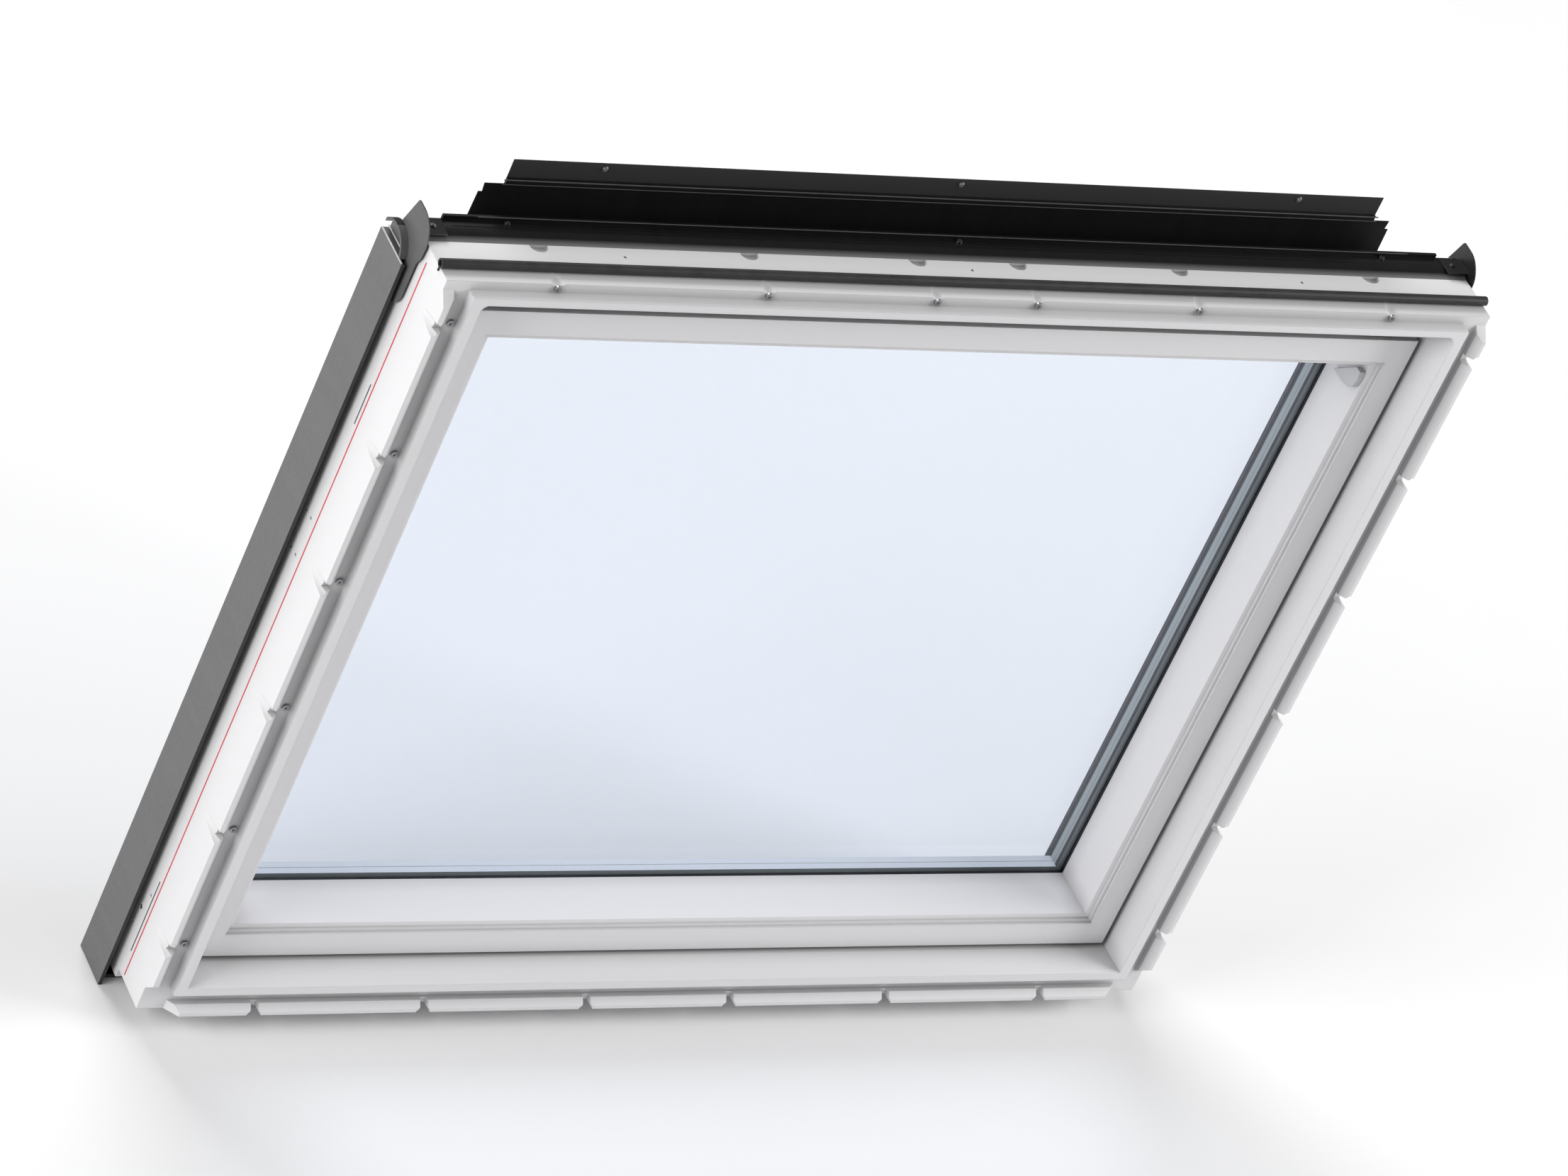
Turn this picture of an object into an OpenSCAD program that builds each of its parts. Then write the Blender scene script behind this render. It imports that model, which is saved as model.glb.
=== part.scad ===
// Fixed roof window element: moulded frame and sash, sealed glazing unit,
// sheet-metal covers outside, and a gutter and flashing at the head.
// X runs across the width, Y outward from the room to the sky, Z up the slope.

/* [Overall] */
// Width over the jambs
frame_w = 1140; // [700:2:1340]
// Height of the frame's room-side body
frame_h = 920; // [600:2:1400]
// Depth from the room face to the sky face of the frame
frame_depth = 100; // [90:1:112]

/* [Frame section] */
// Depth of the lining groove behind the room face
groove_depth = 12.4; // [10:0.2:16]
// Thickness of a flange at its root
flange_root = 11; // [8:0.5:13]
// Thickness of a flange at its tip
flange_tip = 4.3; // [3:0.1:6]
// Depth of the straight tip side before the inner chamfer ends
flange_chamfer = 6.2; // [3:0.2:8]
// Distance from the jamb face to the lip's outer side
lip_side = 26.5; // [20:0.5:32]
// Distance from the sill face to the lip's outer side
lip_sill = 28.2; // [20:0.2:32]
// Distance from the head face to the lip's outer side
lip_head = 9.8; // [6:0.2:14]
// Width of the lip's room face at the jambs
lip_w_side = 11.5; // [8:0.5:15]
// Width of the lip's room face at the sill
lip_w_sill = 10; // [8:0.5:15]
// Width of the lip's room face at the head
lip_w_head = 7.8; // [6:0.2:12]
// Distance from the outer faces to the frame's inner wall
frame_wall = 44; // [40:0.5:48]
// Depth at which the splayed reveal meets the inner wall
reveal_depth = 31; // [24:0.5:36]
// Distance the outer sill step hangs below the frame
sill_step = 10.4; // [6:0.2:16]
// Depth at which the outer sill step starts
sill_step_y = 66.3; // [60:0.5:75]
// Distance of the flange ends from the sill, and from the jambs
flange_end = 28.5; // [20:0.5:40]
// Distance of the jamb flange ends from the head
flange_end_head = 10.7; // [8:0.1:20]
// Corner radius of the reveal at the head
reveal_round = 9; // [4:0.5:14]

/* [Sash] */
// Gap between the frame's inner wall and the sash
sash_gap = 6; // [4:0.5:8]
// Depth of the sash's room face
sash_face_y = 32; // [31:0.5:40]
// Width of the sash's room face at the stiles
sash_face_side = 25.5; // [20:0.5:32]
// Width of the sash's room face at the rails
sash_face_rail = 28.5; // [20:0.5:34]
// Width of the first bead step
bead_step = 3; // [2:0.5:4]
// Height of each bead step
bead_rise = 2.8; // [1.5:0.1:3.2]
// Width of the second, sloping bead step
bead_slope = 5.2; // [4:0.2:7]
// How far the sash's inner wall leans in by the glazing rebate
sash_draft = 4; // [1:0.5:4.5]
// Depth of the glazing rebate
rebate_y = 94; // [88:0.5:98]
// Depth of the top of the sash's upstand around the glass
upstand_y = 119; // [114:0.5:121]
// Width of the sash's upstand around the glass
upstand_w = 22; // [16:0.5:24]
// How far the sash's outer flange laps over the frame
sash_lap = 10; // [6:0.5:14]
// Thickness of the sash's outer flange
sash_flange_t = 6; // [4:0.5:8]

/* [Glazing] */
// Thickness of each pane
pane_t = 4; // [3:0.5:6]
// Width of the cavity between the panes
cavity_t = 16; // [12:1:16]
// Thickness of the inner glazing gasket
inner_gasket_t = 4; // [3:0.5:5]
// Thickness of the outer glazing gasket
outer_gasket_t = 2.2; // [1.5:0.1:3]
// Space between the pane edge and the upstand
pane_edge_gap = 4; // [3:0.5:6]
// Width of the edge sealant
sealant_w = 9; // [6:0.5:10]
// Height of the spacer bar
spacer_h = 7; // [5:0.5:8]
// Width and depth of the seam along the spacer bar
spacer_seam = 0.6; // [0.4:0.1:1]
// Length of a setting block
block_len = 60; // [30:5:100]

/* [Covers] */
// Sheet thickness of covers, gutter and flashing
sheet_t = 0.8; // [0.6:0.1:1.2]
// Distance of the side cover's wall outside the jamb
cover_gap = 12; // [9:0.5:16]
// Depth of the side cover's room-side edge
cover_edge_y = 71; // [68:1:80]
// Depth of the bottom cover's room-side edge
bottom_edge_y = 80; // [74:1:88]
// Distance the covers hang below the frame
cover_drop = 26; // [20:1:36]
// Width of the hem along the side cover's room-side edge
hem_w = 4; // [3:0.5:6]
// How far the outer covers lap over the glass past the spacer
cover_lap = 1; // [0:0.5:4]
// Distance from the head at which the side cover steps in
joggle_z = 33; // [28:1:40]
// Length of the side cover's tongue past the step
tongue_len = 13; // [8:1:16]
// Width of a cover clip
clip_w = 30; // [20:2:40]
// Clips on each cover edge
clip_count = 3; // [2:1:4]

/* [Gutter and flashing] */
// Depth of the gutter's front edge
gutter_y = 66.5; // [64:0.5:70]
// Depth of the gutter from front to back
gutter_d = 30.5; // [26:0.5:32]
// Height of the gutter above the head
gutter_h = 4; // [3:0.2:6]
// Depth over which the gutter's front is rounded down
gutter_round = 18.5; // [14:0.5:20]
// Length left free at each end of the gutter's hem
hem_setback = 25; // [24:1:40]
// Height of the gutter's hem
gutter_hem_h = 4; // [3:0.5:7]
// Width of the hem's fold
gutter_hem_w = 3; // [2.4:0.2:4]
// Radius of the half-moon pockets in front of the gutter
moon_r = 9.5; // [7:0.5:12]
// Height of the flashing's top above the head
flashing_h = 51.5; // [44:0.5:60]
// Height of the flashing's upper flange
flashing_flange_h = 21.5; // [16:0.5:26]
// Height of the doubled fold below that flange
flashing_fold_h = 7; // [5:0.5:9]
// How far the doubled fold stands off the flashing
flashing_fold_d = 2; // [1.6:0.2:3]
// Distance of the upper flange's ends inside the jamb faces
flashing_in = 93; // [80:1:110]
// Distance of the lower part's ends inside the jamb faces
flashing_in_low = 67; // [60:0.5:76]

/* [End plates] */
// Distance of the end plate outside the jamb
plate_gap = 2.4; // [2:0.1:4]
// Sheet thickness of the end plate
plate_t = 1; // [0.8:0.1:1.5]
// Outer radius of the end plate's collar
collar_r = 26; // [24:0.5:27]
// Depth of the collar's centre
collar_y = 104.5; // [100:0.5:106]
// Height of the collar off the plate
collar_h = 7.6; // [3:0.2:8]
// Width of the collar's rim
collar_w = 2.6; // [1.5:0.1:3]
// Width of the plate's foot on the gutter
foot_w = 24; // [20:1:28]

/* [Head gasket] */
// Outer diameter of the tube gasket
tube_d = 9.4; // [7:0.2:12]
// Bore of the tube gasket
tube_bore = 6.4; // [4:0.2:6.6]
// Depth of the tube gasket's centre
tube_y = 30.5; // [28:0.5:34]
// Thickness of the gasket's fin
fin_t = 1.4; // [1:0.1:2]
// Depth of the fin in its slot
fin_h = 4; // [3:0.5:6]

/* [Fasteners] */
// Head diameter of the frame screws
frame_screw_head = 7.2; // [6:0.2:8]
// Shank diameter of the frame screws
frame_screw_d = 4; // [3:0.2:4.4]
// Shank length of the frame screws in the jambs
frame_screw_len = 36; // [20:1:50]
// Shank length of the frame screws in the head
head_screw_len = 14; // [8:1:15]
// Radial clearance round a shank
screw_clear = 0.1; // [0.05:0.05:0.3]
// Head diameter of the sheet screws
sheet_screw_head = 6; // [5:0.2:8]
// Shank diameter of the sheet screws
sheet_screw_d = 3; // [2.4:0.1:4]
// Distance of the screw line inside the jamb faces
screw_line = 20.8; // [16:0.2:22]
// Distance of the screw line inside the head face
screw_line_head = 5; // [5:0.1:5.4]
// Radius of the tool channels that lead to the flanges
channel_r = 8; // [6:0.5:9]
// Depth of those channels at the room face
channel_cut = 6.5; // [4:0.1:7]
// Radius of the tool channels in the head
head_channel_r = 11; // [8:0.5:12]
// Depth of the head channels at the groove
head_channel_cut = 2.4; // [1.5:0.1:2.5]
// Width of the pocket inside each flange notch
notch_w = 8.6; // [6:0.2:10]

/* [Marks on the jambs] */
// Radius of the pilot holes
pilot_r = 1.5; // [1:0.1:2.5]
// Spacing of the bracket holes across the jamb
pilot_dy = 11.5; // [9:0.5:14]
// Spacing of the bracket holes along the jamb
pilot_dz = 45.4; // [30:0.2:60]
// Depth of the middle of the bracket holes
pilot_y = 70; // [68:0.5:74]
// Spacing of the three pilot holes in the head
head_pilot_dx = 371; // [300:1:390]
// Depth of the pilot holes in the head
head_pilot_y = 54; // [48:1:54]
// Width of the narrow slots
slot_w = 1.8; // [1:0.1:3]
// How deep slots and pilot holes go in
mark_depth = 12; // [6:1:18]

/* [Blind brackets] */
// Height of a blind bracket
bracket_h = 27; // [20:1:40]
// Depth of a blind bracket
bracket_d = 38; // [24:1:44]
// Thickness of a blind bracket
bracket_t = 3; // [1:0.5:8]

/* [Hidden] */
$fn = 48;
half_w = frame_w / 2;
over = 1;                        // how far a cut runs past the face it opens
joint_gap = 0.4;                 // between neighbouring cover edges

// distances in from the outer faces, each as [jambs, sill, head]
even = [1, 1, 1];
lip_out = [lip_side, lip_sill, lip_head];
lip_in = lip_out + [lip_w_side, lip_w_sill, lip_w_head];
wall_in = even * frame_wall;
sash_out = wall_in + even * sash_gap;
sash_in = sash_out + [sash_face_side, sash_face_rail, sash_face_rail];
bead_1 = sash_in + even * bead_step;
bead_2 = bead_1 + even * bead_slope;
rebate_in = bead_2 + even * sash_draft;
pane_pocket = sash_out + even * upstand_w;
pane_out = pane_pocket + even * pane_edge_gap;
sealant_in = pane_out + even * sealant_w;
spacer_in = sealant_in + even * spacer_h;
cover_in = spacer_in + even * cover_lap;

// depths, from the room face outward
bead_1_y = sash_face_y + bead_rise;
bead_2_y = bead_1_y + bead_rise;
bead_end_y = bead_2_y + bead_rise / 3;
pane_1_y = rebate_y + inner_gasket_t;
cavity_y = pane_1_y + pane_t;
pane_2_y = cavity_y + cavity_t;
glass_y = pane_2_y + pane_t;
cover_y = glass_y + outer_gasket_t;          // inside of the outer covers
sky_y = cover_y + sheet_t;                   // outside of the outer covers
total_depth = sky_y + sheet_t;               // the top cover lies over the flashing
sash_top_y = frame_depth + sash_flange_t;

// covers, gutter and flashing
cover_x = half_w + cover_gap;                // outside of the side covers
cover_z = -cover_drop;
top_cover_z = frame_h - cover_in[2];
step_z = frame_h - joggle_z;
gutter_back = gutter_y + gutter_d;
gutter_top = frame_h + gutter_h;
round_r = (pow(gutter_round, 2) + pow(gutter_h, 2)) / (2 * gutter_h);
flashing_top = frame_h + flashing_h;
fold_top = flashing_top - flashing_flange_h;
fold_low = fold_top - flashing_fold_h;
plate_x = half_w + plate_gap;                // inside of the end plates
plate_out = plate_x + plate_t;
collar_z = frame_h - 38;
clip_y = frame_depth - 18;
clip_d = 12;

head_t = 2.2;                                // height of a frame screw's head
sheet_head_t = 1.6;                          // height of a sheet screw's head
sheet_screw_len = 12;

jamb_rows = [88, 240, 398, 557, 714, 871] / 920;      // screws up a jamb, as shares of the height
head_rows = [-456, -236, -55, 55, 236, 456] / 1140;   // screws along the head, as shares of the width
sill_rows = [-449, -264, -82, 82, 264, 449] / 1140;   // notches along the sill, as shares of the width
bracket_row = 565 / 920;                              // upper group of bracket holes
corner_row = 78.3;                                    // lower group, near the sill
slots = [[31.6, 124.6], [708, 756]] / 920;            // lower and upper end of each slot
slot_y = 59;
gutter_screw_rows = [-480, 0, 480] / 1140;
gutter_screw_y = 90.6;
flashing_screw_rows = [-381, 0, 381] / 1140;
flashing_screw_z = flashing_top - 6;

white = [0.93, 0.93, 0.93];
grey = [0.45, 0.45, 0.46];
black = [0.08, 0.08, 0.09];
steel = [0.6, 0.6, 0.62];
glass = [0.8, 0.88, 0.95, 0.3];

function arc(centre, r, from, to, steps) =
    [for (i = [0:steps]) let (a = from + (to - from) * i / steps)
        [centre[0] + r * cos(a), centre[1] + r * sin(a)]];
function blend(a, b, t) = a + (b - a) * t;
function spread(count, span) = [for (i = [0:count - 1]) -span / 2 + span * i / (count - 1)];

// puts the origin under the middle of the whole element
module place() translate([0, -total_depth / 2, cover_drop]) children();

module both_sides() {
    children();
    mirror([1, 0, 0]) children();
}

// a box that keeps the given distances from the jambs, sill and head
module block(inset, y0, y1)
    translate([-half_w + inset[0], y0, inset[1]])
        cube([frame_w - 2 * inset[0], y1 - y0, frame_h - inset[1] - inset[2]]);

module ring(outer, inner, y0, y1) difference() {
    block(outer, y0, y1);
    block(inner, y0 - over, y1 + over);
}

// outlines drawn as [depth, height], run along the width
module along_x(x0, x1) translate([x0, 0, 0]) rotate([90, 0, 90]) linear_extrude(x1 - x0) children();

// outlines drawn as [across, depth], run up the slope
module along_z(z0, z1) translate([0, 0, z0]) linear_extrude(z1 - z0) children();

// outlines drawn as [across, height], run outward
module along_y(y0, y1) translate([0, y1, 0]) rotate([90, 0, 0]) linear_extrude(y1 - y0) children();

// a tapered box between two depths, each with its own distances
module taper(inset0, y0, inset1, y1) intersection() {
    along_z(-over, frame_h + over) polygon([
        [-half_w + inset0[0], y0], [half_w - inset0[0], y0],
        [half_w - inset1[0], y1], [-half_w + inset1[0], y1]]);
    along_x(-half_w, half_w) polygon([
        [y0, inset0[1]], [y0, frame_h - inset0[2]],
        [y1, frame_h - inset1[2]], [y1, inset1[1]]]);
}

// the same taper, run past both its depths so that it cuts cleanly
module taper_open(inset0, y0, inset1, y1, past = over) {
    t = past / (y1 - y0);
    taper(blend(inset0, inset1, -t), y0 - past, blend(inset0, inset1, 1 + t), y1 + past);
}

// a hole for a shank that points outward
module shank_hole(d, len) rotate([-90, 0, 0]) cylinder(d = d + 2 * screw_clear, h = len);

// a hole for a sheet screw's shank below z = 0
module sheet_hole(len) translate([0, 0, -len]) cylinder(d = sheet_screw_d + 2 * screw_clear, h = len + over);

// a screw that points down, with its head on z = 0
module screw(head_d, head_h, d, len) {
    difference() {
        cylinder(d = head_d, h = head_h);
        translate([0, 0, head_h / 2]) cylinder(d = head_d / 2.4, h = head_h, $fn = 6);
    }
    translate([0, 0, -len]) cylinder(d = d, h = len);
}

module sheet_screw(len) screw(sheet_screw_head, sheet_head_t, sheet_screw_d, len);

// a rivet through sheets that end at z = 0, with a plain domed head
module rivet(len) {
    cylinder(d = sheet_screw_head, h = sheet_head_t / 2);
    cylinder(d = sheet_screw_head * 0.6, h = sheet_head_t);
    translate([0, 0, -len]) cylinder(d = sheet_screw_d, h = len);
}

/* frame */

flange_outline = [[0, 0], [flange_tip, 0], [flange_root, flange_chamfer],
    [flange_root, groove_depth + over], [0, groove_depth + over]];

module jamb_flange() intersection() {
    along_z(0, frame_h) polygon([for (p = flange_outline) [-half_w + p[0], p[1]]]);
    along_x(-half_w - over, 0) polygon([
        [0, flange_end + groove_depth], [0, frame_h - flange_end_head - groove_depth],
        [groove_depth, frame_h - flange_end_head], [groove_depth + over, frame_h - flange_end_head],
        [groove_depth + over, flange_end], [groove_depth, flange_end]]);
}

module sill_flange() intersection() {
    along_x(-half_w, half_w) polygon([for (p = flange_outline) [p[1], p[0]]]);
    along_z(-over, frame_h) polygon([
        [-half_w + flange_end + groove_depth, 0], [half_w - flange_end - groove_depth, 0],
        [half_w - flange_end, groove_depth], [half_w - flange_end, groove_depth + over],
        [-half_w + flange_end, groove_depth + over], [-half_w + flange_end, groove_depth]]);
}

// a pocket in a flange and the tool channel that runs out over its tip,
// drawn for the sill's flange, whose outside is the plane z = 0
module flange_notch() {
    channel_len = tube_y - 1;
    translate([-notch_w / 2, -over, flange_tip / 2])
        cube([notch_w, groove_depth - 2 + over, flange_root]);
    translate([0, channel_len, -channel_r])
        rotate([90 - atan(channel_cut / channel_len), 0, 0])
            cylinder(r = channel_r, h = channel_len + 2 * channel_r);
}

// tool channels in the head, each with a half-moon pocket in front of the gutter
module head_channels() for (row = head_rows) translate([row * frame_w, 0, frame_h]) {
    run = tube_y - 2 - groove_depth;
    translate([0, groove_depth + run, head_channel_r])
        rotate([90 + atan(head_channel_cut / run), 0, 0])
            cylinder(r = head_channel_r, h = run + 2 * groove_depth);
    translate([0, gutter_y, -gutter_h]) difference() {
        cylinder(r = moon_r, h = gutter_h + over);
        translate([-2 * moon_r, 0, -over]) cube([4 * moon_r, 2 * moon_r, gutter_h + 3 * over]);
    }
}

// bracket holes, the small four-sided recess and the narrow slots
module jamb_marks() translate([-half_w - over, 0, 0]) {
    for (a = [-0.5, 0.5], b = [-0.5, 0.5])
        translate([0, pilot_y + a * pilot_dy, bracket_row * frame_h + b * pilot_dz])
            rotate([0, 90, 0]) cylinder(r = pilot_r, h = mark_depth + over);
    for (a = [-0.5, 0.5])
        translate([0, pilot_y + a * pilot_dy, corner_row - a * pilot_dz])
            rotate([0, 90, 0]) cylinder(r = pilot_r, h = mark_depth + over);
    translate([0, pilot_y + 2.5, corner_row]) rotate([0, 90, 0]) cylinder(r = 3.2, h = over + 2, $fn = 4);
    for (s = slots * frame_h)
        translate([0, slot_y - slot_w / 2, s[0]]) cube([mark_depth + over, slot_w, s[1] - s[0]]);
}

module reveal() {
    intersection() {
        taper_open(lip_in, 0, wall_in, reveal_depth, over / 10);
        along_y(-over, reveal_depth + over) polygon(concat(
            [[-half_w, 0], [half_w, 0]],
            arc([half_w - lip_in[0] - reveal_round, frame_h - lip_in[2] - reveal_round], reveal_round, 0, 90, 12),
            arc([-half_w + lip_in[0] + reveal_round, frame_h - lip_in[2] - reveal_round],
                reveal_round, 90, 180, 12)));
    }
    block(wall_in, reveal_depth - over / 100, frame_depth + over);
}

module frame() color(white) place() difference() {
    union() {
        block([0, 0, 0], groove_depth, frame_depth);
        block(lip_out, 0, groove_depth + over);
        translate([-half_w, sill_step_y, -sill_step])
            cube([frame_w, frame_depth - sill_step_y, sill_step + over]);
        both_sides() jamb_flange();
        sill_flange();
    }
    reveal();
    both_sides() {
        jamb_marks();
        for (row = jamb_rows) translate([-half_w, 0, row * frame_h]) {
            rotate([0, 90, 0]) flange_notch();
            translate([screw_line, groove_depth - over, 0])
                shank_hole(frame_screw_d, frame_screw_len + 2 * over);
        }
    }
    for (row = sill_rows) translate([row * frame_w, 0, 0]) flange_notch();
    head_channels();
    for (row = head_rows) translate([row * frame_w, groove_depth - over, frame_h - screw_line_head])
        shank_hole(frame_screw_d, head_screw_len + over + screw_clear);
    for (k = [-1, 0, 1]) translate([k * head_pilot_dx, head_pilot_y, frame_h - mark_depth])
        cylinder(r = pilot_r, h = mark_depth + over);
    // slot for the tube gasket's fin
    translate([-half_w - over, tube_y - fin_t / 2, frame_h - fin_h])
        cube([frame_w + 2 * over, fin_t, fin_h + over]);
    // groove for the sash gasket's foot
    ring(wall_in - even * seal_foot, wall_in + even, seal_y + seal_lip, seal_y + 2 * seal_lip);
    for (row = gutter_screw_rows) translate([row * frame_w, gutter_screw_y, frame_h])
        sheet_hole(sheet_screw_len);
    sash_screw_places() translate([0, frame_depth - sash_screw_len, 0])
        shank_hole(frame_screw_d, sash_screw_len + over);
    jamb_clip_places() sheet_hole(sheet_screw_len);
    sill_clip_places() sheet_hole(sheet_screw_len);
}

module frame_screws() for (row = jamb_rows)
    translate([-half_w + screw_line, groove_depth, row * frame_h]) rotate([90, 0, 0])
        screw(frame_screw_head, head_t, frame_screw_d, frame_screw_len);

module left_frame_screws() color(steel) place() frame_screws();
module right_frame_screws() color(steel) place() mirror([1, 0, 0]) frame_screws();

module head_frame_screws() color(steel) place() for (row = head_rows)
    translate([row * frame_w, groove_depth, frame_h - screw_line_head]) rotate([90, 0, 0])
        screw(frame_screw_head, head_t, frame_screw_d, head_screw_len);

/* sash */

module sash() color(white) place() difference() {
    union() {
        block(sash_out, sash_face_y, upstand_y);
        block(sash_out - even * (sash_gap + sash_lap), frame_depth, sash_top_y);
    }
    block(sash_in, sash_face_y - over, bead_1_y);
    block(bead_1, sash_face_y, bead_2_y);
    taper_open(bead_1, bead_2_y, bead_2, bead_end_y, over / 10);
    taper_open(bead_2, bead_end_y, rebate_in, rebate_y, over / 10);
    block(pane_pocket, rebate_y, upstand_y + over);
    sash_screw_places() translate([0, frame_depth - over, 0])
        shank_hole(frame_screw_d, sash_flange_t + 2 * over);
}

// sash screws stand in the lap of the sash flange over the frame
sash_screw_len = 18;
module sash_screw_places() {
    u = frame_wall - sash_lap / 2 - over / 2;
    for (x = spread(5, frame_w - 260), z = [u, frame_h - u]) translate([x, 0, z]) children();
    for (x = [-half_w + u, half_w - u], t = spread(4, frame_h - 240))
        translate([x, 0, frame_h / 2 + t]) children();
}

module sash_screws() color(steel) place() sash_screw_places()
    translate([0, sash_top_y, 0]) rotate([-90, 0, 0])
        screw(frame_screw_head, head_t, frame_screw_d, sash_screw_len + sash_flange_t - over);

/* seals and glazing unit */

seal_foot = 2.5;
seal_lip = 2.6;
seal_y = 82;
module sash_gasket() color(black) place() {
    ring(wall_in, sash_out, seal_y, seal_y + 3 * seal_lip);
    ring(wall_in - even * seal_foot, wall_in + even, seal_y + seal_lip, seal_y + 2 * seal_lip);
}

module inner_pane() color(glass) place() block(pane_out, pane_1_y, cavity_y);
module outer_pane() color(glass) place() block(pane_out, pane_2_y, glass_y);

// a fine seam runs round the middle of the visible side
module spacer_bar() color(steel) place() difference() {
    ring(sealant_in, spacer_in, cavity_y, pane_2_y);
    ring(spacer_in - even * spacer_seam, spacer_in + even,
        (cavity_y + pane_2_y - spacer_seam) / 2, (cavity_y + pane_2_y + spacer_seam) / 2);
}

module edge_sealant() color(black) place() ring(pane_out, sealant_in, cavity_y, pane_2_y);

module inner_glazing_gasket() color(black) place()
    ring(pane_out + even * 2, rebate_in - even * 0.3, rebate_y, pane_1_y);

// runs up the jambs and along the head; the sill edge of the glass stays open
module outer_glazing_gasket() color(black) place() difference() {
    ring(pane_out + even * 4, spacer_in, glass_y, cover_y);
    translate([-half_w, glass_y - over, 0]) cube([frame_w, outer_gasket_t + 2 * over, spacer_in[1] + 8]);
}

// two blocks under the glass and two beside it at each jamb
module setting_blocks() color(black) place() {
    depth = upstand_y - rebate_y - over;
    for (x = spread(2, frame_w - 480))
        translate([x - block_len / 2, rebate_y, pane_pocket[1]]) cube([block_len, depth, pane_edge_gap]);
    both_sides() for (t = spread(2, frame_h - 480))
        translate([-half_w + pane_pocket[0], rebate_y, frame_h / 2 + t - block_len / 2])
            cube([pane_edge_gap, depth, block_len]);
}

/* covers */

// wall, room-side hem, step towards the end plate, tongue and the flange over the glass
module side_cover() {
    tongue_r = collar_r - collar_w - over;
    step_half = sqrt(pow(tongue_r, 2) - pow(step_z - sheet_t - collar_z, 2));
    along_z(cover_z, step_z) polygon([
        [-cover_x, cover_edge_y], [-cover_x + hem_w, cover_edge_y],
        [-cover_x + hem_w, cover_edge_y + sheet_t], [-cover_x + sheet_t, cover_edge_y + sheet_t],
        [-cover_x + sheet_t, cover_y], [-half_w, cover_y], [-half_w, sky_y], [-cover_x, sky_y]]);
    translate([-half_w - over, cover_y, cover_z])
        cube([cover_in[0] + over, sheet_t, top_cover_z - joint_gap - cover_z]);
    translate([-cover_x, collar_y - step_half, step_z - sheet_t])
        cube([cover_x - plate_out, sky_y - collar_y + step_half, sheet_t]);
    intersection() {
        translate([-plate_out - sheet_t, cover_edge_y, step_z - sheet_t])
            cube([sheet_t, cover_y - cover_edge_y - over, tongue_len]);
        translate([-cover_x, collar_y, collar_z]) rotate([0, 90, 0])
            cylinder(r = tongue_r, h = 2 * cover_gap);
    }
}

module left_side_cover() color(grey) place() side_cover();
module right_side_cover() color(grey) place() mirror([1, 0, 0]) side_cover();

module bottom_cover() color(grey) place() {
    wall_x = cover_x - sheet_t - joint_gap;
    mid_x = half_w - cover_in[0] - joint_gap;
    low_z = cover_z + joint_gap;
    translate([-wall_x, bottom_edge_y, low_z])
        cube([2 * wall_x, cover_y - joint_gap - bottom_edge_y, sheet_t]);
    translate([-mid_x, bottom_edge_y, low_z]) cube([2 * mid_x, sky_y - bottom_edge_y, sheet_t]);
    translate([-mid_x, cover_y, low_z]) cube([2 * mid_x, sheet_t, pane_out[1] + 4 - low_z]);
    translate([-wall_x, bottom_edge_y, low_z]) cube([2 * wall_x, sheet_t, hem_w]);
}

// lies over the flashing and laps over the side covers' upper ends
module top_cover() color(grey) place() {
    x = plate_x - joint_gap;
    lap_z = top_cover_z - 12;
    lap_x = half_w - cover_in[0];
    along_y(sky_y, total_depth) polygon([
        [-x, lap_z], [-lap_x, lap_z], [-lap_x, top_cover_z], [lap_x, top_cover_z],
        [lap_x, lap_z], [x, lap_z], [x, frame_h - 26], [-x, frame_h - 26]]);
}

// plastic clips between the frame and the covers, each held by one screw
module jamb_clip_places() for (s = [-1, 1], t = spread(clip_count, frame_h - 200))
    translate([s * half_w, clip_y + clip_d / 2, frame_h / 2 + t - 20]) rotate([0, s * 90, 0]) children();

module sill_clip_places() for (t = spread(clip_count, frame_w - 260))
    translate([t, clip_y + clip_d / 2, -sill_step]) rotate([180, 0, 0]) children();

clip_base = 3;
module clip(h) difference() {
    translate([-clip_w / 2, -clip_d / 2, 0]) cube([clip_w, clip_d, h]);
    translate([-clip_w / 2 + clip_base, -clip_d / 2 - over, clip_base])
        cube([clip_w - 2 * clip_base, clip_d + 2 * over, h]);
    translate([0, 0, clip_base]) sheet_hole(clip_base + over);
}

module cover_clips() color(black) place() {
    jamb_clip_places() clip(cover_gap - sheet_t);
    sill_clip_places() clip(cover_drop - joint_gap - sheet_t - sill_step);
}

module clip_screws() color(steel) place() {
    jamb_clip_places() translate([0, 0, clip_base]) sheet_screw(clip_base + sheet_screw_len - over);
    sill_clip_places() translate([0, 0, clip_base]) sheet_screw(clip_base + sheet_screw_len - over);
}

/* gutter and flashing */

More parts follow.
